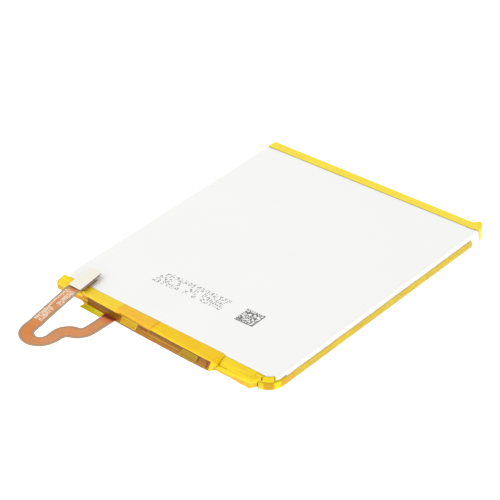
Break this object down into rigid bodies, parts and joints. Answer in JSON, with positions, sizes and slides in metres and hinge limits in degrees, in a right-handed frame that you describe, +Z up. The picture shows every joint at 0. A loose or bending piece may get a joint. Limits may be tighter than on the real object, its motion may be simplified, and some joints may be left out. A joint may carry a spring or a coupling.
{
  "type": "pouch battery cell",
  "caption": "Flat lithium pouch cell with a taped protection board along one end and a flexible printed tail that folds back to a board-to-board connector.",
  "frame": {"origin": "centre of the pack's bounding box on the floor, measured without the flexible tail and what is on it", "axes": "+X across the width, +Y along the length away from the protection board, +Z up through the thickness"},
  "size_m": [0.064, 0.1027, 0.0049],
  "materials": {
    "pouch_film_white": "matte white-grey coating of the laminated aluminium pouch",
    "pouch_film_silver": "satin silver underside of the pouch laminate",
    "cathode": "dull black cathode coating on foil",
    "anode": "dull graphite anode coating on foil",
    "separator": "white microporous film",
    "aluminium_foil": "bare foil",
    "copper_foil": "bare copper foil",
    "aluminium_tab": "satin",
    "nickel": "satin nickel plate",
    "tab_sealant": "translucent sealing film",
    "tape_gold": "glossy golden polyimide tape",
    "tape_yellow": "glossy yellow polyimide tape",
    "tape_bright": "glossy bright yellow polyimide tape",
    "tape_over_board": "glossy amber polyimide tape, brown over the board edge",
    "tape_orange": "glossy orange-yellow polyimide tape",
    "tape_green": "single layer of yellow-green tape",
    "foam": "soft dark foam",
    "board_laminate": "brown circuit board",
    "chip_black": "black moulded package",
    "fuse_body": "dark moulded fuse body",
    "chip_ceramic": "chip part ceramic with tinned ends",
    "spacer_pad": "soft pad",
    "flex_polyimide": "copper-orange printed ribbon with dark edges",
    "stiffener": "off-white laminate plate",
    "connector_plastic": "dark moulded connector",
    "contact_gold": "gold plated contacts"
  },
  "bodies": {
    "pack": {"pouch_upper_film": "pouch_film_white", "pouch_lower_film": "pouch_film_silver", "cathode_sheets": "cathode", "anode_sheets": "anode", "separator_sheets": "separator", "cathode_foil_tails": "aluminium_foil", "anode_foil_tails": "copper_foil", "positive_tab": "aluminium_tab", "negative_tab": "nickel", "positive_tab_sealant": "tab_sealant", "negative_tab_sealant": "tab_sealant", "side_tape_right": "tape_gold", "side_tape_left": "tape_gold", "far_tape": "tape_yellow", "front_tape_right": "tape_bright", "front_tape_left": "tape_bright", "board_cover_tape": "tape_over_board", "root_tape_patch": "tape_orange", "tape_flap": "tape_green", "board_foam_strip": "foam", "protection_board": "board_laminate", "nickel_pads": "nickel", "mosfet_pair": "chip_black", "protection_ic": "chip_black", "thermal_fuse": "fuse_body", "thermistor": "chip_ceramic", "chip_passives": "chip_ceramic", "board_spacer_pad": "spacer_pad", "flex_tail": "flex_polyimide"},
    "connector_end": {"stiffener_plate": "stiffener", "connector_body": "connector_plastic", "connector_contacts": "contact_gold", "connector_clips": "nickel"}
  },
  "joints": [
    {"name": "connector_lift", "type": "hinge", "parent": "pack", "child": "connector_end", "pos_m": [-0.0262, -0.0516, 0.0022], "axis": [1, 0, 0], "range_deg": [0, 120], "stiffness_Nm_per_rad": 0.0005}
  ]
}
